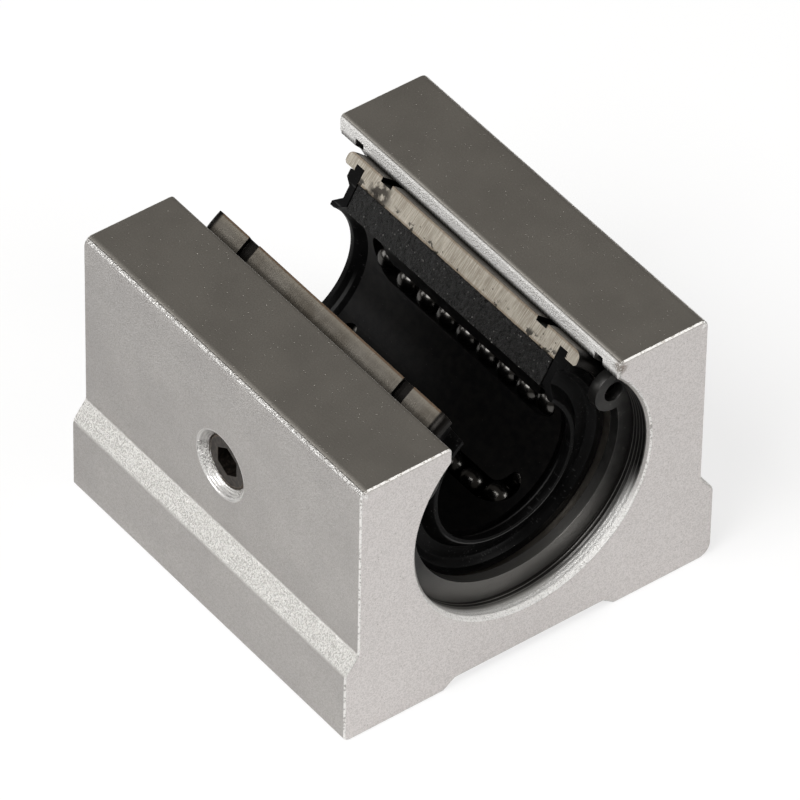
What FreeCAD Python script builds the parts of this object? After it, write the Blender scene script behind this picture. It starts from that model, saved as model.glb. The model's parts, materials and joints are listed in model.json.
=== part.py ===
"""Open linear bearing block: an aluminium housing with an open linear ball bushing.

The housing stands on its mounting face, with the origin at the centre of that face.
+Z is up, +Y runs along the rail shaft and +X runs across it. All lengths are millimetres.
Every body is drawn about the shaft axis and lifted to the shaft height by its placement.
"""

import FreeCAD
import Part
import Sketcher
import os

Vector = FreeCAD.Vector
Rotation = FreeCAD.Rotation
Placement = FreeCAD.Placement
ACROSS = Vector(1, 0, 0)
ALONG = Vector(0, 1, 0)
UP = Vector(0, 0, 1)
TOLERANCE = 0.001  # two lengths that differ by less than this are the same

# Driving sizes, each written once.
SIZES = {
    # housing
    "block_height": 32.0,
    "shaft_height": 20.0,
    "flange_width": 45.0,
    "flange_side": 8.8,
    "flange_slope": 2.1,
    "flange_step": 1.6,
    "end_land": 2.7,
    "gap_width": 20.1,
    "gap_round": 0.6,
    "roof_round": 1.0,
    "flange_round": 1.5,
    "neck_round": 1.0,
    "left_foot_round": 0.7,
    "right_foot_round": 1.6,
    "end_break": 0.18,
    "bore_break": 0.45,
    "relief_width": 21.0,
    "relief_slope": 1.4,
    "relief_depth": 1.0,
    "mount_spacing_across": 32.0,
    "mount_spacing_along": 30.0,
    "mount_hole_diameter": 4.2,
    "mount_hole_mouth": 5.4,
    "mount_hole_depth": 12.0,
    # bushing
    "shaft_diameter": 16.0,
    "bushing_wall": 6.0,
    "bushing_length": 37.0,
    "bushing_turn": 2.2,
    "seat_play": 0.02,
    "opening_width": 11.0,
    "opening_lean": 28.0,
    "ring_groove_spacing": 26.5,
    "ring_groove_width": 1.6,
    "ring_groove_depth": 0.5,
    "sleeve_end_round": 0.8,
    "sleeve_wall": 2.3,
    "sleeve_lip_wall": 1.5,
    "sleeve_lip_break": 0.25,
    "seal_seat_wall": 0.8,
    "race_play": 0.02,
    "race_width": 4.0,
    "race_inset": 4.6,
    # ball circuits
    "ball_diameter": 3.175,
    "ball_gap": 0.035,
    "turn_gap": 0.065,
    "channel_play": 0.06,
    "shaft_play": 0.02,
    "return_lift": 1.0,
    "circuit_count": 4,
    "circuit_step": 72.0,
    "first_row_angle": 90.0,
    # ball cage
    "cage_inset": 2.9,
    "cage_shaft_gap": 0.6,
    "cage_sleeve_play": 0.1,
    "cage_end_wall": 0.4,
    # end seals
    "seal_end_play": 0.15,
    "seal_flange": 1.1,
    "seal_play": 0.05,
    "seal_lip_play": 0.05,
    "seal_lip_land": 0.6,
    "seal_lip_wall": 0.45,
    "seal_reach": 2.05,
    "seal_rim_width": 0.9,
    "seal_rim_height": 0.6,
    "seal_web": 0.9,
    "seal_neck": 1.0,
    # snap rings
    "snap_thickness": 1.2,
    "snap_end_play": 0.05,
    "snap_side_play": 0.05,
    "snap_groove_depth": 0.7,
    "snap_rim_play": 0.05,
    "snap_width": 1.67,
    "snap_offset": 0.75,
    "lug_angle": 65.0,
    "lug_radius": 2.3,
    "lug_hole_diameter": 2.2,
    "lug_hole_wall": 0.7,
    # set screw
    "screw_drop": 1.25,
    "screw_diameter": 6.0,
    "screw_length": 6.0,
    "screw_play": 0.02,
    "screw_tip_gap": 0.05,
    "screw_tip_break": 0.8,
    "screw_rim_break": 0.25,
    "screw_socket": 3.0,
    "screw_socket_depth": 2.4,
    "screw_mouth": 7.7,
}

# Sizes worked out from the driving ones. Angles are in degrees, without a unit.
FORMULAS = {
    "flange_half": "flange_width / 2",
    "body_half": "flange_half - flange_step",
    "roof_level": "block_height - shaft_height",
    "flange_drop": "shaft_height - flange_side",
    "neck_drop": "flange_drop - flange_slope",
    "gap_half": "gap_width / 2",
    "relief_half": "relief_width / 2",
    "relief_floor_half": "relief_half - relief_slope",
    "relief_drop": "shaft_height - relief_depth",
    "mount_half_across": "mount_spacing_across / 2",
    "mount_half_along": "mount_spacing_along / 2",
    "mount_hole_radius": "mount_hole_diameter / 2",
    "bushing_radius": "shaft_diameter / 2 + bushing_wall",
    "bushing_half": "bushing_length / 2",
    "bore_radius": "bushing_radius + seat_play",
    # snap rings and their grooves
    "snap_near": "bushing_half + snap_end_play",
    "snap_far": "snap_near + snap_thickness",
    "snap_groove_near": "snap_near - snap_side_play",
    "snap_groove_far": "snap_far + snap_side_play",
    "half_length": "snap_groove_far + end_land",
    "block_length": "2 * half_length",
    "bore_mouth_level": "half_length - bore_break",
    "bore_past": "half_length + bore_break",
    "bore_past_radius": "bore_radius + 2 * bore_break",
    "snap_groove_radius": "bore_radius + snap_groove_depth",
    "snap_radius": "snap_groove_radius - snap_rim_play",
    "snap_inner_radius": "bushing_radius - snap_width",
    "lug_hole_radius": "lug_hole_diameter / 2",
    "lug_distance": "snap_radius - lug_hole_wall - lug_hole_radius",
    "lug_across": "lug_distance * sin(lug_angle)",
    "lug_up": "lug_distance * cos(lug_angle)",
    "snap_trim_radius": "snap_radius + 2 * lug_radius",
    "snap_gap_top": "snap_trim_radius * cos(lug_angle)",
    "snap_gap_side": "snap_trim_radius * sin(lug_angle)",
    "snap_gap_head": "2 * snap_trim_radius",
    # balls and their circuits
    "ball_radius": "ball_diameter / 2",
    "channel_radius": "ball_radius + channel_play",
    "ball_pitch": "ball_diameter + ball_gap",
    "loaded_radius": "shaft_diameter / 2 + ball_radius + shaft_play",
    "return_radius": "loaded_radius + return_lift",
    "turn_radius": "(ball_diameter + turn_gap) / sqrt(2)",
    "cage_half": "bushing_half - cage_inset",
    "cage_length": "2 * cage_half",
    "turn_room": "turn_radius + channel_radius + cage_end_wall",
    "row_count": "floor((cage_length - 2 * turn_room) / ball_pitch)",
    "track_length": "row_count * ball_pitch",
    "track_half": "track_length / 2",
    "loop_corner": "acos((loaded_radius^2 + 4 * turn_radius^2 - return_radius^2)"
                   " / (4 * loaded_radius * turn_radius)) / 1 deg",
    "loop_tilt": "270 - first_row_angle - loop_corner",
    "loop_across": "loaded_radius * sin(first_row_angle) + turn_radius * cos(loop_tilt)",
    "loop_up": "loaded_radius * cos(first_row_angle) + turn_radius * sin(loop_tilt)",
    # sleeve, cage and seals
    "race_radius": "loaded_radius + ball_radius + race_play",
    "race_length": "2 * (cage_half - race_inset)",
    "race_half_width": "race_width / 2",
    "race_root": "sleeve_bore + sleeve_wall / 2",
    "sleeve_bore": "bushing_radius - sleeve_wall",
    "cage_radius": "sleeve_bore - cage_sleeve_play",
    "cage_slot_floor": "race_radius - cage_sleeve_play",
    "cage_slot_half": "race_half_width + cage_sleeve_play",
    "cage_slot_length": "race_length + 2 * cage_sleeve_play",
    "cage_slot_head": "bushing_radius",
    "row_tilt": "90 - first_row_angle",
    "cage_inner_radius": "shaft_diameter / 2 + cage_shaft_gap",
    "seal_back": "cage_half + seal_end_play",
    "seal_front": "seal_back + seal_flange",
    "seat_near": "seal_back - seal_play",
    "seat_far": "seal_front + seal_play",
    "seat_radius": "bushing_radius - seal_seat_wall",
    "seal_radius": "seat_radius - seal_play",
    "lip_radius": "bushing_radius - sleeve_lip_wall",
    "lip_break_radius": "lip_radius + sleeve_lip_break",
    "lip_break_level": "bushing_half - sleeve_lip_break",
    "groove_far": "ring_groove_spacing / 2",
    "groove_near": "groove_far - ring_groove_width",
    "groove_radius": "bushing_radius - ring_groove_depth",
    "opening_half": "opening_width / 2",
    "opening_level": "sqrt(cage_inner_radius^2 - opening_half^2)",
    "opening_floor": "opening_level / 2",
    "opening_floor_half": "opening_half - opening_floor * tan(opening_lean)",
    "opening_top": "bushing_radius + opening_half",
    "opening_top_half": "opening_half + (opening_top - opening_level) * tan(opening_lean)",
    "seal_lip_radius": "shaft_diameter / 2 + seal_lip_play",
    "seal_lip_edge": "seal_lip_radius + seal_lip_wall",
    "seal_tip": "seal_back + seal_reach",
    "seal_land_end": "seal_tip - seal_lip_land",
    "seal_rim_radius": "lip_radius - 2 * seal_play",
    "seal_rim_level": "seal_front + seal_rim_height",
    "seal_rim_inner": "seal_rim_radius - seal_rim_width",
    "seal_web_level": "seal_back + seal_web",
    "seal_dish_radius": "seal_rim_inner - seal_rim_height",
    "seal_foot_radius": "seal_lip_edge + seal_neck",
    "seal_back_radius": "seal_lip_edge + seal_neck / 2",
    # set screw
    "screw_level": "shaft_height - screw_drop",
    "screw_radius": "screw_diameter / 2",
    "screw_hole_diameter": "screw_diameter + 2 * screw_play",
    "screw_face": "bushing_radius + screw_tip_gap + screw_length",
    "screw_hole_depth": "body_half - bushing_half_chord",
    "bushing_half_chord": "sqrt(bore_radius^2 - screw_diameter^2) - screw_tip_gap",
    "socket_corner": "screw_socket / sqrt(3)",
    "socket_half_side": "socket_corner / 2",
    "socket_half_flats": "screw_socket / 2",
}

document = FreeCAD.newDocument("linear_bearing_block")
sheet = document.addObject("Spreadsheet::Sheet", "Sizes")


def fill_sheet():
    """Write every size to the sheet, one row each, with its name as the alias."""
    cells = {name: str(number) for name, number in SIZES.items()}
    cells.update({name: "=" + formula for name, formula in FORMULAS.items()})
    for row, name in enumerate(cells, start=1):
        sheet.set(f"A{row}", name)
        sheet.setAlias(f"B{row}", name)
    for row, name in enumerate(cells, start=1):
        sheet.set(f"B{row}", cells[name])
    document.recompute()


def size(name):
    """The value of a named size; a leading minus gives its negative."""
    if name.startswith("-"):
        return -size(name[1:])
    return float(sheet.get(name))


def bound(name):
    """The expression that reads a named size from the sheet."""
    if name.startswith("-"):
        return "-Sizes." + name[1:]
    return "Sizes." + name


def bind(thing, prop, name):
    """Tie a property of an object to a named size."""
    thing.setExpression(prop, bound(name))


# Sketches


def origin_feature(body, role):
    """The origin plane or axis of a body that has this role."""
    for feature in body.Origin.OriginFeatures:
        if feature.Role == role:
            return feature
    raise ValueError(role)


def new_sketch(body, name, role, offset=None):
    """A sketch on one of the body's own origin planes, moved along its normal by a size."""
    sketch = body.newObject("Sketcher::SketchObject", name)
    sketch.AttachmentSupport = [(origin_feature(body, role), "")]
    sketch.MapMode = "FlatFace"
    if offset:
        bind(sketch, "AttachmentOffset.Base.z", offset)
    return sketch


def fix_number(sketch, kind, first, second, name):
    """Add one dimension whose value stays tied to a named size."""
    index = sketch.addConstraint(Sketcher.Constraint(kind, *first, *second, size(name)))
    label = f"{kind}{index}"
    sketch.renameConstraint(index, label)
    sketch.setExpression("Constraints." + label, bound(name))


def fix_point(sketch, geometry, vertex, across, up):
    """Hold a sketch point at two named coordinates, measured from the sketch origin."""
    for kind, axis, name in (("DistanceX", -2, across), ("DistanceY", -1, up)):
        if name == "0":
            sketch.addConstraint(Sketcher.Constraint("PointOnObject", geometry, vertex, axis))
        elif name.startswith("-"):
            fix_number(sketch, kind, (geometry, vertex), (-1, 1), name[1:])
        else:
            fix_number(sketch, kind, (-1, 1), (geometry, vertex), name)


def coordinate(name):
    """The number behind a coordinate, where 0 stands for the origin."""
    return 0.0 if name == "0" else size(name)


def polygon(sketch, corners):
    """A closed outline through named corners."""
    points = [Vector(coordinate(across), coordinate(up), 0) for across, up in corners]
    first = sketch.GeometryCount
    for start, end in zip(points, points[1:] + points[:1]):
        sketch.addGeometry(Part.LineSegment(start, end), False)
    for index in range(len(points)):
        following = first + (index + 1) % len(points)
        sketch.addConstraint(Sketcher.Constraint("Coincident", first + index, 2, following, 1))
    for index, (across, up) in enumerate(corners):
        fix_point(sketch, first + index, 1, across, up)


def circle(sketch, across, up, radius):
    """A circle about a named point."""
    centre = Vector(coordinate(across), coordinate(up), 0)
    index = sketch.addGeometry(Part.Circle(centre, UP, size(radius)), False)
    fix_number(sketch, "Radius", (index,), (), radius)
    fix_point(sketch, index, 3, across, up)


def mirrored_outline(half):
    """Close a half outline with its mirror image across the sketch's upright axis."""
    return half + [("-" + across, up) for across, up in reversed(half)]


# Features


def new_body(label):
    """A body that starts on the shaft axis, lifted to the shaft height."""
    body = document.addObject("PartDesign::Body", label)
    body.Label = label
    bind(body, "Placement.Base.z", "shaft_height")
    return body


def turn_body(body, rear):
    """Turn a bushing part about the shaft axis as the bushing sits in the housing."""
    if rear:
        body.Placement.Rotation = Rotation(ALONG, size("bushing_turn"))
        bind(body, "Placement.Rotation.Angle", "bushing_turn")
    else:
        body.Placement.Rotation = Rotation(ALONG, size("bushing_turn")) * Rotation(UP, 180)


def pad(body, name, sketch, length, symmetric=False, reverse=False):
    """Extrude a sketch by a named length."""
    feature = body.newObject("PartDesign::Pad", name)
    feature.Profile = sketch
    feature.SideType = "Symmetric" if symmetric else "One side"
    feature.Reversed = reverse
    bind(feature, "Length", length)
    return feature


def pocket(body, name, sketch, length=None, symmetric=True, reverse=False):
    """Cut a sketch by a named length, or through everything on both sides."""
    feature = body.newObject("PartDesign::Pocket", name)
    feature.Profile = sketch
    feature.Reversed = reverse
    if length:
        bind(feature, "Length", length)
    else:
        feature.Type = "ThroughAll"
    feature.SideType = "Symmetric" if symmetric else "One side"
    return feature


def revolve(body, name, sketch):
    """Turn a sketch about the shaft axis into a solid."""
    feature = body.newObject("PartDesign::Revolution", name)
    feature.Profile = sketch
    feature.ReferenceAxis = (sketch, ["H_Axis"])
    feature.Angle = 360
    return feature


def groove(body, name, sketch, axis="H_Axis", angle=360, reverse=False):
    """Cut away a sketch turned about one of its axes."""
    feature = body.newObject("PartDesign::Groove", name)
    feature.Profile = sketch
    feature.ReferenceAxis = (sketch, [axis])
    feature.Angle = angle
    feature.Reversed = reverse
    return feature


def edges_where(feature, test):
    """The names of the edges whose every end point passes a test."""
    names = []
    for index, edge in enumerate(feature.Shape.Edges, start=1):
        if all(test(vertex.Point) for vertex in edge.Vertexes):
            names.append(f"Edge{index}")
    return names


def edges_along(feature, places, up):
    """The edges that run lengthwise at some places across the body and at a height."""
    def on_edge(point):
        return close(point.z, up) and any(close(point.x, across) for across in places)

    return edges_where(feature, on_edge)


def edges_across(feature, along):
    """The edges that lie in one of the two end planes."""
    names = edges_where(feature, lambda point: close(abs(point.y), along))
    return [name for name in names if feature.getSubObject(name).BoundBox.YLength < TOLERANCE]


def dress(body, kind, name, base, edge_names, amount):
    """Fillet or chamfer chosen edges of a feature by a named size."""
    feature = body.newObject("PartDesign::" + kind, name)
    feature.Base = (base, edge_names)
    bind(feature, {"Fillet": "Radius", "Chamfer": "Size"}[kind], amount)
    return feature


def close(first, second):
    """Whether two lengths agree within the tolerance."""
    return abs(first - second) < TOLERANCE


# Housing


def housing_outline():
    """Half of the extruded section: flange, body, shaft gap and relieved foot."""
    return [
        ("gap_half", "0"),
        ("gap_half", "roof_level"),
        ("body_half", "roof_level"),
        ("body_half", "-neck_drop"),
        ("flange_half", "-flange_drop"),
        ("flange_half", "-shaft_height"),
        ("relief_half", "-shaft_height"),
        ("relief_floor_half", "-relief_drop"),
    ]


def bore_outline():
    """The bored profile from the middle past one broken mouth, with its snap ring groove."""
    return [
        ("snap_groove_near", "bore_radius"),
        ("snap_groove_near", "snap_groove_radius"),
        ("snap_groove_far", "snap_groove_radius"),
        ("snap_groove_far", "bore_radius"),
        ("bore_mouth_level", "bore_radius"),
        ("bore_past", "bore_past_radius"),
        ("bore_past", "0"),
    ]


def drill(body, name, sketch, diameter, mouth, depth):
    """Drill a sketch's circles into the housing, each with a countersunk mouth."""
    document.recompute()
    hole = body.newObject("PartDesign::Hole", name)
    hole.Profile = sketch
    document.recompute()
    hole.Threaded = False
    hole.Reversed = True
    hole.DepthType = "Dimension"
    hole.DrillPoint = "Angled"
    hole.HoleCutType = "Countersink"
    hole.HoleCutCustomValues = True
    hole.HoleCutCountersinkAngle = 90
    bind(hole, "Diameter", diameter)
    bind(hole, "HoleCutDiameter", mouth)
    bind(hole, "Depth", depth)


def make_housing():
    """The extruded, bored and drilled aluminium block."""
    body = new_body("housing_block")
    section = new_sketch(body, "housing_section", "XZ_Plane")
    polygon(section, mirrored_outline(housing_outline()))
    block = pad(body, "housing_extrusion", section, "block_length", symmetric=True)
    document.recompute()

    rounded = block
    for sides, level, name, amount in (
        (("-body_half", "body_half"), "roof_level", "roof_rounds", "roof_round"),
        (("-gap_half", "gap_half"), "roof_level", "gap_rounds", "gap_round"),
        (("-flange_half", "flange_half"), "-flange_drop", "flange_rounds", "flange_round"),
        (("-body_half", "body_half"), "-neck_drop", "neck_rounds", "neck_round"),
        (("-flange_half",), "-shaft_height", "left_foot", "left_foot_round"),
        (("flange_half",), "-shaft_height", "right_foot", "right_foot_round"),
    ):
        edges = edges_along(rounded, [size(side) for side in sides], size(level))
        rounded = dress(body, "Fillet", name, rounded, edges, amount)
        document.recompute()
    ends = edges_across(rounded, size("half_length"))
    dress(body, "Chamfer", "end_breaks", rounded, ends, "end_break")
    bore = new_sketch(body, "bore_profile", "YZ_Plane")
    polygon(bore, mirrored_outline(bore_outline()))
    groove(body, "bore", bore)
    feet = new_sketch(body, "mount_hole_places", "XY_Plane", "-shaft_height")
    for across in ("mount_half_across", "-mount_half_across"):
        for along in ("mount_half_along", "-mount_half_along"):
            circle(feet, across, along, "mount_hole_radius")
    drill(body, "mount_holes", feet, "mount_hole_diameter", "mount_hole_mouth", "mount_hole_depth")
    side = new_sketch(body, "screw_hole_place", "YZ_Plane", "-body_half")
    circle(side, "0", "-screw_drop", "screw_radius")
    drill(body, "screw_hole", side, "screw_hole_diameter", "screw_mouth", "screw_hole_depth")
    return body


# Set screw


def make_set_screw():
    """A short hexagon socket set screw in the side of the housing, its tip at the sleeve."""
    body = new_body("set_screw")
    body.Placement.Rotation = Rotation(ALONG, 90)
    bind(body, "Placement.Base.x", "-screw_face")
    bind(body, "Placement.Base.z", "screw_level")
    shank = new_sketch(body, "screw_section", "XY_Plane")
    circle(shank, "0", "0", "screw_radius")
    rod = pad(body, "screw_rod", shank, "screw_length")
    document.recompute()
    tip = edges_where(rod, lambda point: close(point.z, size("screw_length")))
    tapered = dress(body, "Chamfer", "screw_tip", rod, tip[:1], "screw_tip_break")
    document.recompute()
    rim = edges_where(tapered, lambda point: close(point.z, 0))
    dress(body, "Chamfer", "screw_rim", tapered, rim[:1], "screw_rim_break")
    socket = new_sketch(body, "socket_section", "XY_Plane")
    polygon(socket, [
        ("socket_corner", "0"),
        ("socket_half_side", "socket_half_flats"),
        ("-socket_half_side", "socket_half_flats"),
        ("-socket_corner", "0"),
        ("-socket_half_side", "-socket_half_flats"),
        ("socket_half_side", "-socket_half_flats"),
    ])
    pocket(body, "socket", socket, "screw_socket_depth", symmetric=False, reverse=True)
    return body


# Snap rings


def make_snap_ring(label, rear):
    """An eccentric internal snap ring with two drilled lugs."""
    body = new_body(label)
    if not rear:
        body.Placement.Rotation = Rotation(UP, 180)
    disc = new_sketch(body, label + "_disc", "XZ_Plane", "-snap_near")
    circle(disc, "0", "0", "snap_radius")
    pad(body, label + "_blank", disc, "snap_thickness", reverse=True)
    inside = new_sketch(body, label + "_inside", "XZ_Plane")
    circle(inside, "0", "snap_offset", "snap_inner_radius")
    pocket(body, label + "_inner_cut", inside)
    gap = new_sketch(body, label + "_gap", "XZ_Plane")
    polygon(gap, [
        ("0", "0"),
        ("snap_gap_side", "snap_gap_top"),
        ("snap_gap_side", "snap_gap_head"),
        ("-snap_gap_side", "snap_gap_head"),
        ("-snap_gap_side", "snap_gap_top"),
    ])
    pocket(body, label + "_gap_cut", gap)
    lugs = new_sketch(body, label + "_lugs", "XZ_Plane", "-snap_near")
    for across in ("lug_across", "-lug_across"):
        circle(lugs, across, "lug_up", "lug_radius")
    pad(body, label + "_lug_pads", lugs, "snap_thickness", reverse=True)
    rim = new_sketch(body, label + "_rim", "XZ_Plane")
    circle(rim, "0", "0", "snap_radius")
    circle(rim, "0", "0", "snap_trim_radius")
    pocket(body, label + "_rim_trim", rim)
    holes = new_sketch(body, label + "_holes", "XZ_Plane")
    for across in ("lug_across", "-lug_across"):
        circle(holes, across, "lug_up", "lug_hole_radius")
    pocket(body, label + "_lug_holes", holes)
    return body


# Bushing sleeve, cage and seals


def cut_opening(body, prefix):
    """Cut the lengthwise opening that lets the supported shaft through."""
    wedge = new_sketch(body, prefix + "_opening_section", "XZ_Plane")
    polygon(wedge, [
        ("opening_floor_half", "opening_floor"),
        ("opening_top_half", "opening_top"),
        ("-opening_top_half", "opening_top"),
        ("-opening_floor_half", "opening_floor"),
    ])
    pocket(body, prefix + "_opening", wedge)


def loop_sketch(body, name, along=None):
    """A sketch across the shaft whose origin is the middle of a ball loop's two rows."""
    sketch = new_sketch(body, name, "XZ_Plane", along)
    sketch.AttachmentOffset.Rotation = Rotation(UP, size("loop_tilt"))
    bind(sketch, "AttachmentOffset.Rotation.Angle", "loop_tilt")
    bind(sketch, "AttachmentOffset.Base.x", "loop_across")
    bind(sketch, "AttachmentOffset.Base.y", "loop_up")
    return sketch


def repeat(body, name, features):
    """Repeat features about the shaft axis, once for each ball circuit."""
    pattern = body.newObject("PartDesign::PolarPattern", name)
    pattern.Originals = features
    pattern.Axis = (origin_feature(body, "Y_Axis"), [""])
    pattern.setExpression("Angle", "Sizes.circuit_step * (Sizes.circuit_count - 1)")
    bind(pattern, "Occurrences", "circuit_count")
    body.Tip = pattern


def row_block(body, name, low, high, half_width):
    """A sketched rectangle that straddles the first loaded row, between two radii."""
    sketch = new_sketch(body, name, "XZ_Plane")
    sketch.AttachmentOffset.Rotation = Rotation(UP, size("row_tilt"))
    bind(sketch, "AttachmentOffset.Rotation.Angle", "row_tilt")
    polygon(sketch, [
        (low, "-" + half_width),
        (high, "-" + half_width),
        (high, half_width),
        (low, half_width),
    ])
    return sketch


def cut_channels(body, prefix):
    """Cut one ball channel, two rows joined by two turns, and repeat it for each circuit."""
    rows = loop_sketch(body, prefix + "_rows")
    for across in ("turn_radius", "-turn_radius"):
        circle(rows, across, "0", "channel_radius")
    cuts = [pocket(body, prefix + "_row_cuts", rows, "track_length")]
    for end, along, reverse in (("rear", "-track_half", True), ("front", "track_half", False)):
        turn = loop_sketch(body, f"{prefix}_{end}_turn", along)
        circle(turn, "-turn_radius", "0", "channel_radius")
        cuts.append(groove(body, f"{prefix}_{end}_turn_cut", turn, "V_Axis", 180, reverse))
    repeat(body, prefix + "_circuits", cuts)


def sleeve_outline():
    """Half of the sleeve's lengthwise section, from its middle to one end."""
    inside = [
        ("seat_near", "sleeve_bore"),
        ("seat_near", "seat_radius"),
        ("seat_far", "seat_radius"),
        ("seat_far", "lip_radius"),
        ("lip_break_level", "lip_radius"),
        ("bushing_half", "lip_break_radius"),
    ]
    outside = [
        ("bushing_half", "bushing_radius"),
        ("groove_far", "bushing_radius"),
        ("groove_far", "groove_radius"),
        ("groove_near", "groove_radius"),
        ("groove_near", "bushing_radius"),
    ]
    return inside + outside


def make_sleeve():
    """The hardened steel outer sleeve, with its races, return tracks and outer grooves."""
    body = new_body("outer_sleeve")
    turn_body(body, rear=True)
    section = new_sketch(body, "sleeve_section", "YZ_Plane")
    polygon(section, mirrored_outline(sleeve_outline()))
    turned = revolve(body, "sleeve_turned", section)
    document.recompute()

    def on_outer_end(point):
        return close(abs(point.y), size("bushing_half")) and close(
            point.x ** 2 + point.z ** 2, size("bushing_radius") ** 2)

    ends = edges_where(turned, on_outer_end)
    dress(body, "Fillet", "sleeve_end_rounds", turned, ends, "sleeve_end_round")
    land = row_block(body, "race_section", "race_radius", "race_root", "race_half_width")
    repeat(body, "races", [pad(body, "race", land, "race_length", symmetric=True)])
    cut_opening(body, "sleeve")
    cut_channels(body, "sleeve")
    return body


def make_cage():
    """The moulded cage that guides the balls, open along the shaft side of each loaded row."""
    body = new_body("ball_cage")
    turn_body(body, rear=True)
    section = new_sketch(body, "cage_section", "YZ_Plane")
    polygon(section, mirrored_outline([
        ("cage_half", "cage_inner_radius"),
        ("cage_half", "cage_radius"),
    ]))
    revolve(body, "cage_tube", section)
    slot = row_block(body, "race_slot_section", "cage_slot_floor", "cage_slot_head", "cage_slot_half")
    repeat(body, "race_slots", [pocket(body, "race_slot", slot, "cage_slot_length")])
    cut_opening(body, "cage")
    cut_channels(body, "cage")
    return body


def make_seal(label, rear):
    """A dished end seal with a wiping lip, held by its flange in the sleeve."""
    body = new_body(label)
    turn_body(body, rear)
    section = new_sketch(body, label + "_section", "YZ_Plane")
    polygon(section, [
        ("seal_back", "seal_back_radius"),
        ("seal_back", "seal_radius"),
        ("seal_front", "seal_radius"),
        ("seal_front", "seal_rim_radius"),
        ("seal_rim_level", "seal_rim_radius"),
        ("seal_rim_level", "seal_rim_inner"),
        ("seal_web_level", "seal_dish_radius"),
        ("seal_web_level", "seal_foot_radius"),
        ("seal_tip", "seal_lip_edge"),
        ("seal_tip", "seal_lip_radius"),
        ("seal_land_end", "seal_lip_radius"),
    ])
    revolve(body, label + "_ring", section)
    cut_opening(body, label)
    return body


# Balls


def circuit_placement(index):
    """Where one ball circuit's own frame lies: x from loaded to return row, y along the shaft."""
    turned = size("bushing_turn") + index * size("circuit_step")
    lifted = Placement(Vector(0, 0, size("shaft_height")), Rotation(ALONG, turned))
    middle = Vector(size("loop_across"), 0, size("loop_up"))
    return lifted * Placement(middle, Rotation(ALONG, -size("loop_tilt")))


def make_balls(label, places, placement):
    """A group of loose balls, each at an expression for its place across and along its loop."""
    balls = []
    for index, (across, along) in enumerate(places, start=1):
        ball = document.addObject("Part::Sphere", f"{label}_ball_{index}")
        bind(ball, "Radius", "ball_radius")
        ball.setExpression("Placement.Base.x", across)
        ball.setExpression("Placement.Base.y", along)
        balls.append(ball)
    group = document.addObject("Part::Compound", label)
    group.Label = label
    group.Links = balls
    group.Placement = placement
    return group


def row_places(side):
    """Places of a straight row's balls, evenly spaced about the middle of the bushing."""
    across = f"{side} * Sizes.turn_radius"
    count = int(size("row_count"))
    return [(across, f"({index} - (Sizes.row_count - 1) / 2) * Sizes.ball_pitch")
            for index in range(count)]


def turn_places(side):
    """Places of the two balls in a turn, an eighth of a circle from each end of its arc."""
    along = f"{side} * (Sizes.track_half + Sizes.turn_radius * sin(45))"
    return [(f"{across} * Sizes.turn_radius * cos(45)", along) for across in (-1, 1)]


def make_circuits():
    """Four groups of balls for each circuit: two rows and two turns."""
    groups = []
    for index in range(int(size("circuit_count"))):
        placement = circuit_placement(index)
        name = f"circuit_{index + 1}_"
        groups.append(make_balls(name + "loaded_balls", row_places(-1), placement))
        groups.append(make_balls(name + "return_balls", row_places(1), placement))
        groups.append(make_balls(name + "rear_turn_balls", turn_places(1), placement))
        groups.append(make_balls(name + "front_turn_balls", turn_places(-1), placement))
    return groups


def check(nodes):
    """Stop if any object failed to compute or any sub-part has no valid shape."""
    failed = [thing.Name for thing in document.Objects
              if "Invalid" in thing.State or "Error" in thing.State]
    for node in nodes:
        if node.Shape.isNull() or not node.Shape.isValid():
            failed.append(node.Label)
    if failed:
        raise RuntimeError("not computed: " + ", ".join(failed))


fill_sheet()
nodes = [
    make_housing(),
    make_set_screw(),
    make_snap_ring("front_snap_ring", rear=False),
    make_snap_ring("rear_snap_ring", rear=True),
    make_sleeve(),
    make_cage(),
    make_seal("front_seal", rear=False),
    make_seal("rear_seal", rear=True),
]
nodes += make_circuits()
document.recompute()
check(nodes)
os.makedirs("parts", exist_ok=True)
for node in nodes:
    node.Shape.exportStep(f"parts/{node.Label}.step")
    print(node.Label, len(node.Shape.Solids), round(node.Shape.Volume, 3))
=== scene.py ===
"""Open linear bearing block: finished pieces, surfaces and a plain studio."""

import json
import math

import bmesh
import bpy
from mathutils import Matrix, Vector

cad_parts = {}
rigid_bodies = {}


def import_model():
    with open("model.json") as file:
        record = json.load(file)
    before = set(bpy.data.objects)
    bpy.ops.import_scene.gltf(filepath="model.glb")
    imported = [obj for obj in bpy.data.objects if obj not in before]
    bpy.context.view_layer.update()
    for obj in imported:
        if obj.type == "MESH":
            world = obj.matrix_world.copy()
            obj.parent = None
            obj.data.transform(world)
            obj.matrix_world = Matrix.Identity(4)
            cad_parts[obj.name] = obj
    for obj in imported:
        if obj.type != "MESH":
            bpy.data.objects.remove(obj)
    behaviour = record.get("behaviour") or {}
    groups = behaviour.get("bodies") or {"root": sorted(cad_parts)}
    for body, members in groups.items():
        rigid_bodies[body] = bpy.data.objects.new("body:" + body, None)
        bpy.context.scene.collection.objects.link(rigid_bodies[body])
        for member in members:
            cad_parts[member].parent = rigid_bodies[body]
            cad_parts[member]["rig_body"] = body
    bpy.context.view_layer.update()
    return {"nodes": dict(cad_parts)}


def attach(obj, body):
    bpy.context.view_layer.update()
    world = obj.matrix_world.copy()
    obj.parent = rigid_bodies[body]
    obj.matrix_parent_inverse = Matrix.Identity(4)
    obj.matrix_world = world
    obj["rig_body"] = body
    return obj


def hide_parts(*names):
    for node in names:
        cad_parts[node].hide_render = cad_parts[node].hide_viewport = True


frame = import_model()

MM = 0.001  # a millimetre in the scene's metres

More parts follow.
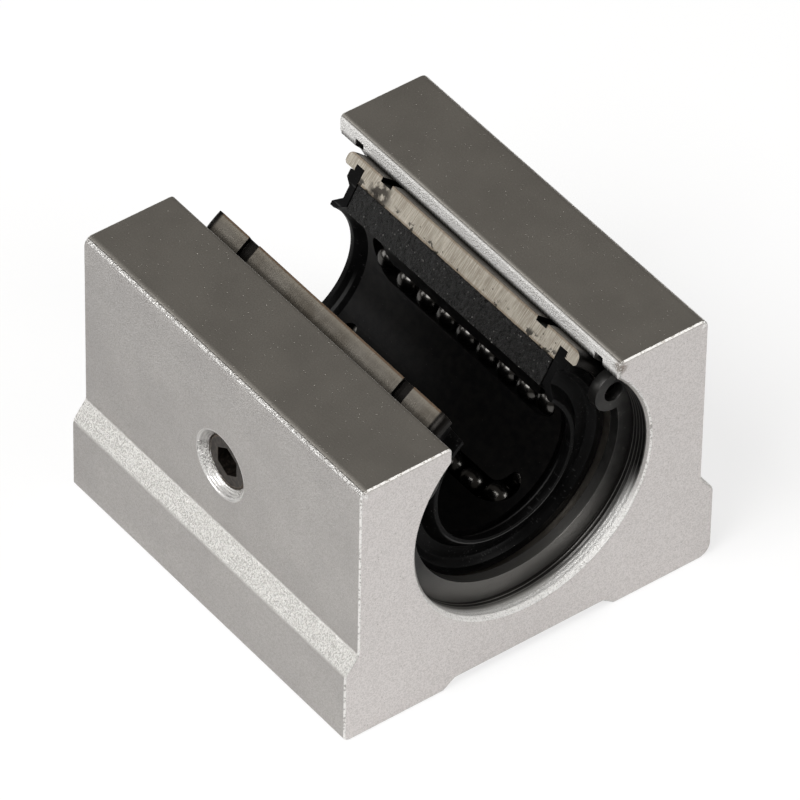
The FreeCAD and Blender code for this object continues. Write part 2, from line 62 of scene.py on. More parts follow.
# Sizes of the object in millimetres and degrees, as it stands in the frame.
HALF_LENGTH = 22.5
BODY_HALF = 20.9
ROOF_LEVEL = 32.0
SLOPE_TOP = 10.9
SLOPE_FOOT = 8.8
GAP_HALF = 10.05
BORE_RADIUS = 14.02
SHAFT_LEVEL = 20.0
SCREW_LEVEL = 18.75
SCREW_RADIUS = 3.0
SINK_RADIUS = 3.85
SLEEVE_RADIUS = 14.0
SLEEVE_INNER_RADIUS = 11.7
BUSHING_TURN = 2.2
OPENING_LEAN = 28.0

# Angles in degrees that tell an edge from a curve.
SHARP_ANGLE = 32.0
FLAT_ANGLE = 0.4


# Node trees


class Tree:
    """A node tree with one call for adding any node."""

    def __init__(self, tree):
        self.tree = tree

    def feed(self, socket, value):
        """Link a field or socket to a socket, or set a plain value on it."""
        if isinstance(value, Field):
            self.tree.links.new(value.socket, socket)
        elif isinstance(value, bpy.types.NodeSocket):
            self.tree.links.new(value, socket)
        elif value is not None:
            socket.default_value = value

    def node(self, kind, settings=None, **inputs):
        """Add a node, set its settings and feed its inputs by name or by number."""
        made = self.tree.nodes.new(kind)
        for name, value in (settings or {}).items():
            setattr(made, name, value)
        for name, value in inputs.items():
            if name.startswith("at_"):
                self.feed(made.inputs[int(name[3:])], value)
            else:
                self.feed(made.inputs[name.replace("_", " ")], value)
        return made


class Field:
    """A number that varies over a surface. Arithmetic on it adds maths nodes."""

    def __init__(self, owner, socket):
        self.owner = owner
        self.socket = socket

    def maths(self, operation, *values):
        inputs = {f"at_{index}": value for index, value in enumerate(values)}
        made = self.owner.node("ShaderNodeMath", {"operation": operation}, **inputs)
        return Field(self.owner, made.outputs[0])

    def __add__(self, other):
        return self.maths("ADD", self, other)

    def __radd__(self, other):
        return self.maths("ADD", other, self)

    def __sub__(self, other):
        return self.maths("SUBTRACT", self, other)

    def __rsub__(self, other):
        return self.maths("SUBTRACT", other, self)

    def __mul__(self, other):
        return self.maths("MULTIPLY", self, other)

    def __rmul__(self, other):
        return self.maths("MULTIPLY", other, self)

    def __abs__(self):
        return self.maths("ABSOLUTE", self)

    def root(self):
        return self.maths("SQRT", self)

    def wave(self):
        """A sine of this number of radians, between 0 and 1."""
        return self.maths("SINE", self) * 0.5 + 0.5

    def larger(self, other):
        return self.maths("MAXIMUM", self, other)

    def rise(self, low, high):
        """0 below low, 1 above high and a smooth step between; low may be above high."""
        made = self.owner.node(
            "ShaderNodeMapRange",
            {"interpolation_type": "SMOOTHSTEP"},
            Value=self,
            From_Min=low,
            From_Max=high,
        )
        return Field(self.owner, made.outputs["Result"])

    def between(self, low, high, edge):
        """1 from low to high, with soft edges."""
        return self.rise(low - edge, low) * self.rise(high + edge, high)


class Finish(Tree):
    """A material with one Principled shader. Places are in millimetres."""

    def __init__(self, name, **constants):
        self.material = bpy.data.materials.new(name)
        self.material.use_nodes = True
        super().__init__(self.material.node_tree)
        self.tree.nodes.clear()
        self.shader = self.node("ShaderNodeBsdfPrincipled", **constants)
        self.node("ShaderNodeOutputMaterial", Surface=self.shader.outputs["BSDF"])
        here = self.node("ShaderNodeTexCoord").outputs["Object"]
        scaled = self.node("ShaderNodeVectorMath", {"operation": "SCALE"}, at_0=here, Scale=1 / MM)
        self.place = scaled.outputs[0]
        split = self.node("ShaderNodeSeparateXYZ", at_0=self.place)
        self.x = Field(self, split.outputs[0])
        self.y = Field(self, split.outputs[1])
        self.z = Field(self, split.outputs[2])

    def from_shaft(self):
        """The distance from the shaft axis."""
        up = self.z - SHAFT_LEVEL
        return (self.x * self.x + up * up).root()

    def from_screw(self):
        """The distance from the axis of the set screw."""
        up = self.z - SCREW_LEVEL
        return (self.y * self.y + up * up).root()

    def from_cut(self):
        """The distance across from the middle of the bushing's turned opening."""
        turn = math.radians(BUSHING_TURN)
        up = self.z - SHAFT_LEVEL
        across = self.x * math.cos(turn) - up * math.sin(turn)
        along = up * math.cos(turn) + self.x * math.sin(turn)
        return abs(across) - along * math.tan(math.radians(OPENING_LEAN))

    def spot(self, centre, reach):
        """1 at a point, fading to 0 at that reach."""
        made = self.node(
            "ShaderNodeVectorMath", {"operation": "DISTANCE"}, at_0=self.place, at_1=centre
        )
        return Field(self, made.outputs["Value"]).rise(reach, reach * 0.4)

    def stretched(self, scale, turn=(0, 0, 0)):
        """The place, turned by degrees and scaled along each axis."""
        turned = self.node(
            "ShaderNodeMapping",
            Vector=self.place,
            Rotation=tuple(math.radians(angle) for angle in turn),
        )
        scaled = self.node("ShaderNodeMapping", Vector=turned.outputs[0], Scale=scale)
        return scaled.outputs[0]

    def noise(self, scale, detail, roughness, place=None):
        """Uneven patches around 0.5, with so many to a millimetre."""
        made = self.node(
            "ShaderNodeTexNoise",
            Vector=place or self.place,
            Scale=scale,
            Detail=detail,
            Roughness=roughness,
        )
        return Field(self, made.outputs[0])

    def cells(self, scale):
        """The distance from the middle of the nearest cell."""
        made = self.node("ShaderNodeTexVoronoi", Vector=self.place, Scale=scale)
        return Field(self, made.outputs["Distance"])

    def cell_tone(self, scale):
        """A random number for each cell."""
        made = self.node("ShaderNodeTexVoronoi", Vector=self.place, Scale=scale)
        split = self.node("ShaderNodeSeparateColor", at_0=made.outputs["Color"])
        return Field(self, split.outputs[0])

    def specks(self, scale, share, size):
        """Small round marks in a random share of the cells."""
        chosen = self.cell_tone(scale).rise(1 - share, 1 - share + 0.02)
        return self.cells(scale).rise(size, size * 0.5) * chosen

    def scratches(self, turn, across, along, share, seed):
        """Thin straight marks along one direction, broken at random."""
        lines = self.noise(1.0, 1.0, 0.5, self.stretched((across, along, across), turn))
        broken = self.noise(0.35 + 0.1 * seed, 2.0, 0.5)
        return lines.rise(1 - share, 1 - share + 0.04) * broken.rise(0.45, 0.6)

    def mix(self, share, low, high):
        """One colour at share 0 and the other at share 1."""
        low, high = [(*each, 1.0) if isinstance(each, tuple) else each for each in (low, high)]
        made = self.node("ShaderNodeMix", {"data_type": "RGBA"}, at_0=share, at_6=low, at_7=high)
        return made.outputs[2]

    def finish(self, colour, roughness, height, metallic=None):
        """Feed the shader with a colour, a roughness and a relief in millimetres."""
        self.feed(self.shader.inputs["Metallic"], metallic)
        bump = self.node("ShaderNodeBump", Strength=1.0, Distance=MM, Height=height)
        self.feed(self.shader.inputs["Base Color"], colour)
        self.feed(self.shader.inputs["Roughness"], roughness)
        self.feed(self.shader.inputs["Normal"], bump.outputs[0])
        return self.material


# Surfaces


class Aluminium(Finish):
    """The housing's skin: extruded, bored and blasted, with its own grain on each face."""

    def __init__(self):
        super().__init__("blasted_aluminium")
        self.textures()
        self.faces()
        self.screw_sink()

    def textures(self):
        """The patterns that the layers of colour and relief share."""
        self.coarse = self.noise(3.6, 2.0, 0.6)
        self.frost = self.noise(6.0, 2.0, 0.6)
        self.drawn = self.noise(1.0, 3.0, 0.6, self.stretched((7.0, 0.12, 7.0)))
        self.grain = self.noise(7.0, 2.0, 0.7)
        self.cloud = self.noise(0.16, 3.0, 0.55)
        marks = self.cells(3.0)
        chosen = self.cell_tone(3.0)
        self.pits = marks.rise(0.22, 0.1) * chosen.rise(0.80, 0.84)
        # Painted glints: a few bright specks scattered over the skin.
        self.sparks = marks.rise(0.18, 0.08) * chosen.rise(0.24, 0.20)
        self.turned = (self.y * 14.0 + self.cloud * 2.0).wave()

    def faces(self):
        """A mask for each kind of face: 1 on it and 0 away from it."""
        z = self.z
        side = abs(self.x)
        along = abs(self.y)
        reach = self.from_shaft()
        self.end = along.rise(HALF_LENGTH - 0.04, HALF_LENGTH - 0.01)
        self.body = 1 - self.end
        self.roof = z.rise(ROOF_LEVEL - 0.4, ROOF_LEVEL - 0.05)
        self.bored = (
            reach.rise(BORE_RADIUS + 1.18, BORE_RADIUS + 0.88)
            * z.rise(ROOF_LEVEL - 1.5, ROOF_LEVEL - 2.4)
            * along.rise(HALF_LENGTH - 0.4, HALF_LENGTH - 0.5)
        )
        self.plain = 1 - self.bored
        self.inner = (
            side.rise(GAP_HALF + 0.25, GAP_HALF + 0.05)
            * z.rise(ROOF_LEVEL - 4.5, ROOF_LEVEL - 3.8)
            * self.plain
        )
        self.slope = (
            side.rise(BODY_HALF, BODY_HALF + 0.2)
            * z.rise(SLOPE_TOP + 0.2, SLOPE_TOP - 0.1)
            * z.rise(SLOPE_FOOT - 0.35, SLOPE_FOOT + 0.25)
            * self.body
        )
        self.sharp = self.inner.larger(self.slope)
        corner = side - z + (ROOF_LEVEL - BODY_HALF)
        self.brow = (
            corner.between(-0.20, 0.20, 0.22)
            * side.rise(BODY_HALF - 0.95, BODY_HALF - 0.75)
            * z.rise(ROOF_LEVEL - 1.1, ROOF_LEVEL - 0.9)
            * self.coarse.rise(0.30, 0.56)
        )
        edge = along.rise(HALF_LENGTH - 0.23, HALF_LENGTH - 0.17)
        self.edge = edge * self.body * self.coarse.rise(0.34, 0.50)
        self.low = z.rise(16.5, 10.5)
        mouth = reach.rise(BORE_RADIUS + 1.38, BORE_RADIUS + 1.08)
        self.flare = mouth * along.rise(HALF_LENGTH - 1.8, HALF_LENGTH - 0.8) * self.low * self.body

    def screw_sink(self):
        """Masks for the countersink of the screw hole, two of them for painted highlights."""
        up = self.z - SCREW_LEVEL
        reach = self.from_screw()
        near_side = self.x.rise(1.9 - BODY_HALF, 1.7 - BODY_HALF)
        self.sink = reach.rise(SINK_RADIUS + 0.10, SINK_RADIUS - 0.01) * near_side
        self.lip = reach.between(SINK_RADIUS - 0.15, SINK_RADIUS + 0.05, 0.06) * near_side
        self.rings = (reach * 30.0).wave()
        self.shaved = self.sink * up.between(-2.2, 0.2, 0.9)
        # Painted highlight: a bright band on the countersink below the screw's axis.
        self.shine = self.sink * up.rise(0.6, -1.0) * up.rise(-3.6, -2.6)

    def relief(self):
        """The height of the surface in millimetres."""
        drawn = self.drawn * self.body * 0.008
        grain = self.grain * self.plain * (0.055 - self.roof * 0.040)
        pits = self.pits * self.plain * 0.03
        bright = self.sharp.larger(self.brow * 0.6).larger(self.flare * 0.4)
        frost = self.frost * bright * 0.34 + self.frost * self.shaved * 0.30
        rings = self.turned * self.bored * 0.025 + self.rings * self.sink * 0.02
        return drawn + grain - pits + frost + rings

    def wall(self):
        """The colour of the bored wall: painted shade deep inside, a painted highlight near its
        mouth low down, and lighter turned lines.
        """
        painted_mouth_highlight = abs(self.y).rise(HALF_LENGTH - 2.2, HALF_LENGTH - 0.9) * self.low
        wall = self.mix(painted_mouth_highlight, (0.04, 0.038, 0.036), (0.97, 0.96, 0.94))
        return self.mix(self.turned.rise(0.80, 0.97) * 0.6, wall, (0.62, 0.61, 0.59))

    def tone(self):
        """The colour, laid on in layers: each has its share and its colour."""
        clouds = self.cloud.rise(0.3, 0.7)
        # Painted shade: the roof's colour is darker than the sides', for the dim light it reflects.
        roof = self.mix(clouds, (0.45, 0.428, 0.39), (0.395, 0.375, 0.342))
        grain_share = self.plain * (0.50 - self.end * 0.20 - self.roof * 0.25)
        frost_share = self.sharp * (0.58 - self.inner * 0.34)
        # Painted highlight: the inner gap walls, the chamfered end edges and the rounded roof brows
        # made near white for the light they catch.
        painted_highlight = self.inner.larger(self.edge * 0.7).larger(self.brow * 0.8)
        nick = self.spot((10.3, -22.2, 31.2), 0.9) * self.coarse.rise(0.38, 0.50)
        tone = self.mix(clouds, (0.53, 0.515, 0.502), (0.483, 0.468, 0.459))
        for share, colour in (
            (self.drawn.rise(0.35, 0.75) * self.body * 0.22, (0.40, 0.385, 0.365)),
            # Painted light and shade: the end faces lighter and the roof darker than the sides.
            (self.end, (0.76, 0.73, 0.72)),
            (self.roof, roof),
            (self.grain.rise(0.60, 0.38) * grain_share, (0.31, 0.29, 0.27)),
            (self.pits * (1 - self.sharp) * 0.55, (0.20, 0.185, 0.165)),
            # Painted glints: bright specks.
            (self.sparks * 0.6, (0.95, 0.94, 0.92)),
            (painted_highlight, (0.99, 0.98, 0.96)),
            # Painted light: the slanted bands near white, for the light they catch.
            (self.slope * 0.95, (0.97, 0.96, 0.93)),
            (self.frost.rise(0.60, 0.36) * frost_share, (0.34, 0.325, 0.30)),
            # Painted shade and painted highlight on the bored wall.
            (self.bored, self.wall()),
            # Painted highlight: the lower part of the bore mouth's flare near white.
            (self.flare * (0.9 - self.turned * 0.25), (0.98, 0.97, 0.95)),
            (self.flare * self.frost.rise(0.50, 0.36) * 0.35, (0.24, 0.23, 0.21)),
            (self.sink * 0.9, (0.42, 0.41, 0.40)),
            # Painted highlight below the screw's axis.
            (self.shine * 0.85, (0.92, 0.91, 0.89)),
            (self.shaved * self.frost.rise(0.55, 0.40) * 0.7, (0.22, 0.21, 0.19)),
            # Painted highlight: a bright line along the countersink's rim.
            (self.lip * 0.4, (0.90, 0.89, 0.88)),
            (nick * 0.7, (0.13, 0.085, 0.05)),
        ):
            tone = self.mix(share, tone, colour)
        return tone

    def made(self):
        """The finished material."""
        roughness = 0.42 + self.grain * 0.12 - self.sparks * 0.12 - self.bored * 0.10
        roughness = roughness + self.end * 0.06 - self.sink * 0.16
        roughness = roughness + self.flare * 0.10 - self.sharp * 0.06
        dull = (self.inner * 0.9).larger(self.slope * 0.5)
        dull = dull.larger(self.flare * 0.55).larger(self.edge * 0.7)
        return self.finish(self.tone(), roughness, self.relief(), 1 - dull)


def ground_steel():
    """The outside of the hardened sleeve, ground round with a faint warm cast, with painted shade
    in its ring grooves and on its rounded ends.
    """
    skin = Finish("ground_steel", Metallic=1.0)
    groove = abs(skin.y).between(11.64, 13.26, 0.02)
    rounded_end = abs(skin.y).rise(17.3, 17.7)
    lines = skin.noise(1.0, 3.0, 0.65, skin.stretched((0.25, 7.0, 0.25)))
    stain = skin.noise(0.22, 3.0, 0.6)
    marks = skin.specks(1.3, 0.2, 0.16)
    tone = skin.mix(stain.rise(0.35, 0.7), (0.150, 0.138, 0.120), (0.100, 0.089, 0.074))
    tone = skin.mix(marks * 0.6, tone, (0.10, 0.085, 0.07))
    tone = skin.mix(lines.rise(0.5, 0.8) * 0.35, tone, (0.23, 0.212, 0.185))
    from_cut = skin.from_cut()
    tone = skin.mix(from_cut.rise(3.1, 2.2) * 0.6, tone, (0.26, 0.235, 0.195))
    tone = skin.mix(from_cut.rise(2.30, 2.16) * 0.8, tone, (0.12, 0.075, 0.045))
    # Painted shade: the ring grooves and the rounded ends nearly black.
    tone = skin.mix(rounded_end.larger(groove), tone, (0.014, 0.013, 0.012))
    return skin.finish(tone, 0.30 + lines * 0.12 + stain * 0.08, lines * 0.02 - marks * 0.012)


def cut_steel():
    """The flat faces where the sleeve is cut open, ground along a slant."""
    skin = Finish("cut_steel", Metallic=0.75)
    reach = skin.from_shaft()
    strokes = skin.noise(1.0, 3.0, 0.65, skin.stretched((0.5, 8.0, 0.5), (0, 0, 14)))
    crossing = skin.scratches((0, 0, -34), 7.0, 0.5, 0.38, 1)
    stain = skin.noise(0.35, 3.0, 0.6)
    smudge = skin.spot((7.6, 12.7, 29.8), 2.1) * skin.noise(0.9, 3.0, 0.6).rise(0.34, 0.50)
    pits = skin.specks(1.5, 0.22, 0.17)
    outer_edge = reach.rise(SLEEVE_RADIUS - 0.28, SLEEVE_RADIUS - 0.14)
    inner_edge = reach.rise(SLEEVE_INNER_RADIUS + 0.25, SLEEVE_INNER_RADIUS + 0.12)
    tone = skin.mix(stain.rise(0.3, 0.7), (0.41, 0.375, 0.315), (0.32, 0.285, 0.232))
    tone = skin.mix(strokes.rise(0.40, 0.70) * 0.75, tone, (0.62, 0.575, 0.50))
    tone = skin.mix(strokes.rise(0.47, 0.34) * 0.35, tone, (0.27, 0.235, 0.185))
    tone = skin.mix(crossing * 0.3, tone, (0.30, 0.26, 0.21))
    tone = skin.mix(pits * 0.75, tone, (0.08, 0.06, 0.05))
    tone = skin.mix(outer_edge.larger(inner_edge) * 0.55, tone, (0.20, 0.14, 0.09))
    # Painted shade: near-black patches along the inner edge, standing for the shade in small
    # notches.
    notch_shade = reach.rise(SLEEVE_INNER_RADIUS + 1.0, SLEEVE_INNER_RADIUS + 0.4)
    notch_shade = notch_shade * skin.noise(0.8, 3.0, 0.6).rise(0.55, 0.60)
    tone = skin.mix(notch_shade * 0.9, tone, (0.02, 0.018, 0.016))
    tone = skin.mix(smudge * 0.9, tone, (0.030, 0.025, 0.021))
    return skin.finish(tone, 0.42 + strokes * 0.14, strokes * 0.05 - pits * 0.05)


def race_steel():
    """The turned and honed inside of the sleeve."""
    skin = Finish("race_steel", Metallic=1.0)
    lines = skin.noise(1.0, 2.0, 0.6, skin.stretched((0.3, 12.0, 0.3)))
    stain = skin.noise(0.5, 2.0, 0.5)
    tone = skin.mix(stain.rise(0.3, 0.7), (0.34, 0.31, 0.27), (0.22, 0.195, 0.165))
    return skin.finish(tone, 0.30 + lines * 0.12, lines * 0.012)


def cage_resin():
    """Black moulded resin with a faint orange-peel."""
    skin = Finish("cage_resin", Metallic=0.0, Specular_IOR_Level=0.08)
    lumps = skin.noise(1.1, 2.0, 0.6)
    fine = skin.noise(9.0, 2.0, 0.5)
    dust = skin.specks(4.5, 0.05, 0.2)
    tone = skin.mix(lumps.rise(0.3, 0.7), (0.0022, 0.0022, 0.0024), (0.005, 0.0047, 0.0044))
    tone = skin.mix(dust * 0.16, tone, (0.20, 0.19, 0.18))
    return skin.finish(tone, 0.34 + fine * 0.14, lumps * 0.012 + fine * 0.003)


def cut_resin():
    """Black resin where the opening is cut through it: rough, with pale chips that are partly
    painted glints.
    """
    skin = Finish("cut_resin", Metallic=0.0, Specular_IOR_Level=0.45)
    chips = skin.noise(2.0, 4.0, 0.75)
    lumps = skin.noise(0.9, 2.0, 0.6)
    # Pale chips, partly painted glints on the rough cut.
    light = skin.specks(2.4, 0.45, 0.26) * lumps.rise(0.42, 0.55)
    tone = skin.mix(chips.rise(0.40, 0.7), (0.0015, 0.0015, 0.0015), (0.014, 0.0137, 0.0133))
    tone = skin.mix(light * 0.7, tone, (0.42, 0.41, 0.39))
    return skin.finish(tone, 0.18 + chips * 0.2, chips * 0.9 + lumps * 0.8 + light * 0.15)


def seal_rubber():
    """Black moulded rubber with faint moulding rings and handling marks, and a painted highlight
    along the lower lip edge.
    """
    skin = Finish("seal_rubber", Metallic=0.0, Specular_IOR_Level=0.06)
    reach = skin.from_shaft()
    rings = (reach * 17.0).wave()
    # Painted highlight: a thin lighter line along the lip's edge, on its lower half.
    lip_highlight = reach.between(8.42, 8.56, 0.05) * skin.z.rise(17.0, 13.0)
    soft = skin.noise(0.5, 2.0, 0.5)
    fine = skin.noise(8.0, 2.0, 0.5)
    wipes = skin.scratches((0, 40, 0), 5.0, 0.4, 0.36, 2)
    dust = skin.specks(2.2, 0.06, 0.14)
    tone = skin.mix(soft.rise(0.3, 0.7), (0.0015, 0.0015, 0.0016), (0.0035, 0.0035, 0.0036))
    tone = skin.mix(wipes * 0.35, tone, (0.07, 0.07, 0.07))
    tone = skin.mix(dust * 0.4, tone, (0.25, 0.24, 0.23))
    tone = skin.mix(lip_highlight * 0.6, tone, (0.12, 0.12, 0.12))
    return skin.finish(tone, 0.30 + soft * 0.12 + fine * 0.08, rings * 0.004 + fine * 0.004)


def ring_steel():
    """Phosphated spring steel, smooth and dark, with a painted sheen towards the bottom."""
    skin = Finish("ring_steel", Metallic=0.75)
    soft = skin.noise(0.4, 2.0, 0.5)
    fine = skin.noise(7.0, 2.0, 0.55)
    wear = skin.noise(1.1, 3.0, 0.6)
    wipes = skin.scratches((0, 20, 0), 6.0, 0.5, 0.36, 3)
    tone = skin.mix(soft.rise(0.3, 0.7), (0.022, 0.0215, 0.021), (0.045, 0.044, 0.042))
    # Painted sheen: lighter towards the bottom, for the light it reflects there.
    tone = skin.mix(skin.z.rise(16.0, 8.0) * 0.9, tone, (0.15, 0.146, 0.138))
    tone = skin.mix(wear.rise(0.62, 0.75) * 0.5, tone, (0.11, 0.105, 0.10))
    return skin.finish(tone, 0.28 + fine * 0.14 + soft * 0.06, fine * 0.006 + wipes * 0.004)


def blackened_steel():
    """The set screw: black oxide, rubbed brighter at its edges, with a fine thread."""
    thread_pitch = 1.0
    skin = Finish("blackened_steel", Metallic=0.85)
    reach = skin.from_screw()
    up = skin.z - SCREW_LEVEL
    angle = up.maths("ARCTAN2", up, skin.y)
    outside = reach.rise(SCREW_RADIUS - 0.06, SCREW_RADIUS - 0.02)
    thread = (skin.x * (2 * math.pi / thread_pitch) + angle).wave() * outside
    fine = skin.noise(8.0, 2.0, 0.6)
    wear = skin.noise(2.0, 2.0, 0.6)
    tone = skin.mix(wear.rise(0.4, 0.7), (0.022, 0.018, 0.015), (0.060, 0.047, 0.038))
    rim = reach.rise(SCREW_RADIUS - 0.4, SCREW_RADIUS - 0.15)
    tone = skin.mix(rim * 0.6, tone, (0.17, 0.13, 0.10))
    return skin.finish(tone, 0.30 + fine * 0.16, thread * 0.3 + fine * 0.006)


def ball_steel():
    """Polished bearing steel, its colour painted very dark as the shade inside the bushing, in
    uneven patches.
    """
    skin = Finish("ball_steel", Metallic=1.0)
    shade_patches = skin.noise(0.8, 2.0, 0.5)
    marks = skin.scratches((20, 35, 0), 5.0, 0.8, 0.36, 1)
    # Painted shade: the balls' colour kept very dark, standing for the dim inside of the bushing.
    tone = skin.mix(shade_patches.rise(0.3, 0.7), (0.085, 0.082, 0.078), (0.045, 0.043, 0.040))
    tone = skin.mix(marks * 0.2, tone, (0.07, 0.066, 0.062))
    return skin.finish(tone, 0.14 + shade_patches * 0.14, shade_patches * 0.002)


# Pieces made from the frame's solids


def joined(mesh):
    """A mesh open for work, with its loose triangles joined at their corners."""
    work = bmesh.new()
    work.from_mesh(mesh)
    bmesh.ops.remove_doubles(work, verts=work.verts, dist=0.001 * MM)
    return work


def clean_copy(node_name):
    """A mesh with the node's loose triangles joined and its flat faces made whole."""
    mesh = frame["nodes"][node_name].data.copy()
    work = joined(mesh)
    bmesh.ops.dissolve_limit(
        work, angle_limit=math.radians(FLAT_ANGLE), verts=work.verts, edges=work.edges
    )
    bmesh.ops.recalc_face_normals(work, faces=work.faces)
    work.to_mesh(mesh)
    work.free()
    mesh.materials.clear()
    return mesh


def bake(holder):
    """Turn an object with modifiers into a plain mesh object."""
    bpy.context.view_layer.update()
    graph = bpy.context.evaluated_depsgraph_get()
    mesh = bpy.data.meshes.new_from_object(holder.evaluated_get(graph))
    holder.modifiers.clear()
    holder.data = mesh


def place_piece(name, mesh, materials=()):
    """An object of the visual model, with its materials in order."""
    piece = bpy.data.objects.new(name, mesh)
    bpy.context.scene.collection.objects.link(piece)
    for material in materials:
        mesh.materials.append(material)
    return piece


def soften(piece, width):
    """Round the sharp edges of a piece by a width in millimetres."""
    soft = piece.modifiers.new("soft_edges", "BEVEL")
    soft.width = width * MM
    soft.segments = 2
    soft.limit_method = "ANGLE"
    soft.angle_limit = math.radians(SHARP_ANGLE)
    soft.miter_outer = "MITER_ARC"
    bake(piece)


def shade(piece):
    """Smooth shading between the sharp edges, led by the large faces."""
    for face in piece.data.polygons:
        face.use_smooth = True
    piece.data.set_sharp_from_angle(angle=math.radians(SHARP_ANGLE))
    even = piece.modifiers.new("even_shading", "WEIGHTED_NORMAL")
    even.keep_sharp = True
    bake(piece)


def dressed(node_name, body, materials, edge, rule=None):
    """A finished copy of a node, with softened edges, standing for the node."""
    mesh = clean_copy(node_name)
    piece = place_piece(node_name + "_finished", mesh, materials)
    if rule:
        for face in mesh.polygons:
            face.material_index = rule(face.center / MM, face.normal)
    if edge:
        soften(piece, edge)
    shade(piece)
    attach(piece, body)
    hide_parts(node_name)
    return piece


def faces_opening(centre, normal):
    """Whether a face is one of the slanted cuts beside the opening."""
    toward = -normal.x if centre.x > 0 else normal.x
    lean = math.sin(math.radians(OPENING_LEAN))
    return centre.z > SHAFT_LEVEL + 5.5 and toward > 0.8 and abs(normal.z - lean) < 0.09


def sleeve_face(centre, normal):
    """0 outside and ends, 1 the cut faces of the opening, 2 the inside."""
    if faces_opening(centre, normal):
        return 1
    radius = math.hypot(centre.x, centre.z - SHAFT_LEVEL)
    outward = (normal.x * centre.x + normal.z * (centre.z - SHAFT_LEVEL)) / radius
    if abs(normal.y) > 0.5 or (radius > SLEEVE_RADIUS - 0.7 and outward > 0.5):
        return 0
    return 2


def cage_face(centre, normal):
    """1 for the cut faces of the opening, 0 elsewhere."""
    return int(faces_opening(centre, normal))


# Recipes of geometry nodes


def new_recipe(name, **inputs):
    """A recipe that takes a geometry and named inputs, the tree to fill and what it is given."""
    group = bpy.data.node_groups.new(name, "GeometryNodeTree")
    for label, kind in {"Geometry": "Geometry", **inputs}.items():
        group.interface.new_socket(label, in_out="INPUT", socket_type="NodeSocket" + kind)
    group.interface.new_socket("Geometry", in_out="OUTPUT", socket_type="NodeSocketGeometry")
    work = Tree(group)
    return group, work, work.node("NodeGroupInput").outputs


def paint_and_end(work, last, material):
    """Give what the last node made its material and hand it out."""
    painted = work.node("GeometryNodeSetMaterial", Geometry=last.outputs[0], Material=material)
    work.node("NodeGroupOutput", Geometry=painted.outputs[0])


def grow(piece, group, **values):
    """Run a recipe on a piece with its named inputs and keep the plain mesh."""
    step = piece.modifiers.new(group.name, "NODES")
    step.node_group = group
    for item in group.interface.items_tree:
        if item.item_type == "SOCKET" and item.in_out == "INPUT" and item.name in values:
            step[item.identifier] = values[item.name]
    bake(piece)


# Balls

TURN_RANGE = 3.1  # radians to either side


def ball_recipe():
    """Geometry nodes: one smooth ball at each point, turned at random."""
    group, work, given = new_recipe(
        "ball_at_each_point", Radius="Float", Segments="Int", Rings="Int", Finish="Material"
    )
    ball = work.node(
        "GeometryNodeMeshUVSphere",
        Radius=given["Radius"],
        Segments=given["Segments"],
        Rings=given["Rings"],
    )
    turn = work.node(
        "FunctionNodeRandomValue",
        {"data_type": "FLOAT_VECTOR"},
        at_0=(-TURN_RANGE, -TURN_RANGE, -TURN_RANGE),
        at_1=(TURN_RANGE, TURN_RANGE, TURN_RANGE),
    )
    spread = work.node(
        "GeometryNodeInstanceOnPoints",
        Points=given["Geometry"],
        Instance=ball.outputs["Mesh"],
        Rotation=turn.outputs[0],
    )
    real = work.node("GeometryNodeRealizeInstances", Geometry=spread.outputs[0])
    smooth = work.node("GeometryNodeSetShadeSmooth", Geometry=real.outputs[0])
    paint_and_end(work, smooth, given["Finish"])
    return group


def ball_places(node_name):
    """The centre of each ball of a group, in the mesh's own order, and the balls' radius."""
    work = joined(frame["nodes"][node_name].data)
    left = set(work.verts)
    centres = []
    radius = 0.0
    for first in work.verts:
        if first not in left:
            continue
        left.discard(first)
        group = {first}
        edge = [first]
        while edge:
            vert = edge.pop()
            for link in vert.link_edges:
                other = link.other_vert(vert)
                if other in left:
                    left.discard(other)
                    group.add(other)
                    edge.append(other)
        low = Vector([min(v.co[i] for v in group) for i in range(3)])
        high = Vector([max(v.co[i] for v in group) for i in range(3)])
        centres.append((low + high) / 2)
        radius = max(radius, (high.y - low.y) / 2)
    work.free()
    return centres, radius


def make_balls(material):
    """Smooth balls in place of every group of balls."""
    group = ball_recipe()
    for node_name in sorted(frame["nodes"]):
        if not node_name.endswith("_balls"):
            continue
        centres, radius = ball_places(node_name)
        mesh = bpy.data.meshes.new(node_name + "_finished")
        mesh.from_pydata(centres, [], [])
        piece = place_piece(node_name + "_finished", mesh)
        grow(piece, group, Radius=radius, Segments=40, Rings=24, Finish=material)
        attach(piece, frame["nodes"][node_name]["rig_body"])
        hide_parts(node_name)


# Ragged steel along the cut


